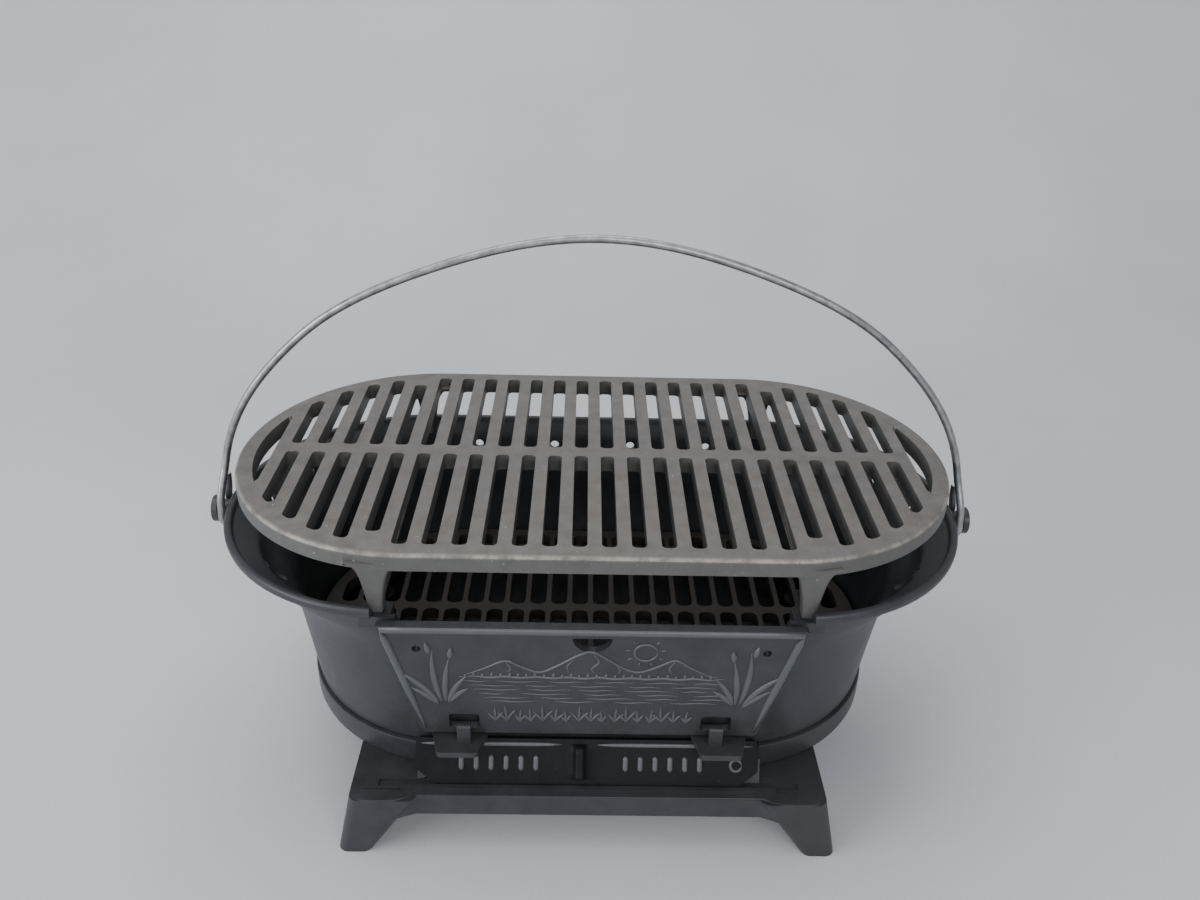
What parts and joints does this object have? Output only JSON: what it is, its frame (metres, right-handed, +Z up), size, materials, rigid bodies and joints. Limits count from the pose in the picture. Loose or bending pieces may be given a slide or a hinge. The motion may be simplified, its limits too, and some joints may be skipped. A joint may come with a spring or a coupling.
{
  "type": "hibachi grill",
  "caption": "Oval cast-iron charcoal hibachi: footed fire bowl with slotted grates, drop-down fire door, sliding draft door and wire bail.",
  "frame": {"origin": "on the surface that the feet stand on, below the middle of the oval", "axes": "+X along the oval to the right, +Y to the back (the doors face -Y), +Z up"},
  "size_m": [0.4864, 0.26, 0.3504],
  "materials": {
    "seasoned_cast_iron": "oiled, satin black with a fine cast grain",
    "bare_cast_iron": "matt grey-brown with worn bright edges",
    "sooted_cast_iron": "dull, dark brown-black",
    "zinc_wire": "dull plated wire",
    "plain_steel": "plain turned steel"
  },
  "bodies": {
    "body": {"fire_bowl": "seasoned_cast_iron", "base": "seasoned_cast_iron", "bowl_screw_front_left": "plain_steel", "bowl_screw_front_right": "plain_steel", "bowl_screw_rear_left": "plain_steel", "bowl_screw_rear_right": "plain_steel", "bowl_washer_front_left": "plain_steel", "bowl_washer_front_right": "plain_steel", "bowl_washer_rear_left": "plain_steel", "bowl_washer_rear_right": "plain_steel", "bowl_nut_front_left": "plain_steel", "bowl_nut_front_right": "plain_steel", "bowl_nut_rear_left": "plain_steel", "bowl_nut_rear_right": "plain_steel"},
    "cooking_grate": {"cooking_grate": "bare_cast_iron"},
    "charcoal_grate": {"charcoal_grate": "sooted_cast_iron"},
    "fire_door": {"fire_door": "seasoned_cast_iron"},
    "draft_door": {"draft_door": "seasoned_cast_iron"},
    "bail": {"bail_handle": "zinc_wire"}
  },
  "joints": [
    {"name": "cooking_grate_lift", "type": "slide", "parent": "body", "child": "cooking_grate", "axis": [0, 0, 1], "range_m": [0, 0.014]},
    {"name": "charcoal_grate_lift", "type": "slide", "parent": "body", "child": "charcoal_grate", "axis": [0, 0, 1], "range_m": [0, 0.075]},
    {"name": "fire_door_swing", "type": "hinge", "parent": "body", "child": "fire_door", "pos_m": [0, -0.1042, 0.0795], "axis": [1, 0, 0], "range_deg": [0, 82]},
    {"name": "draft_door_slide", "type": "slide", "parent": "body", "child": "draft_door", "axis": [1, 0, 0], "range_m": [-0.033, 0.035]},
    {"name": "bail_swing", "type": "hinge", "parent": "body", "child": "bail", "pos_m": [0, 0, 0.165], "axis": [-1, 0, 0], "range_deg": [-125, 125]}
  ]
}
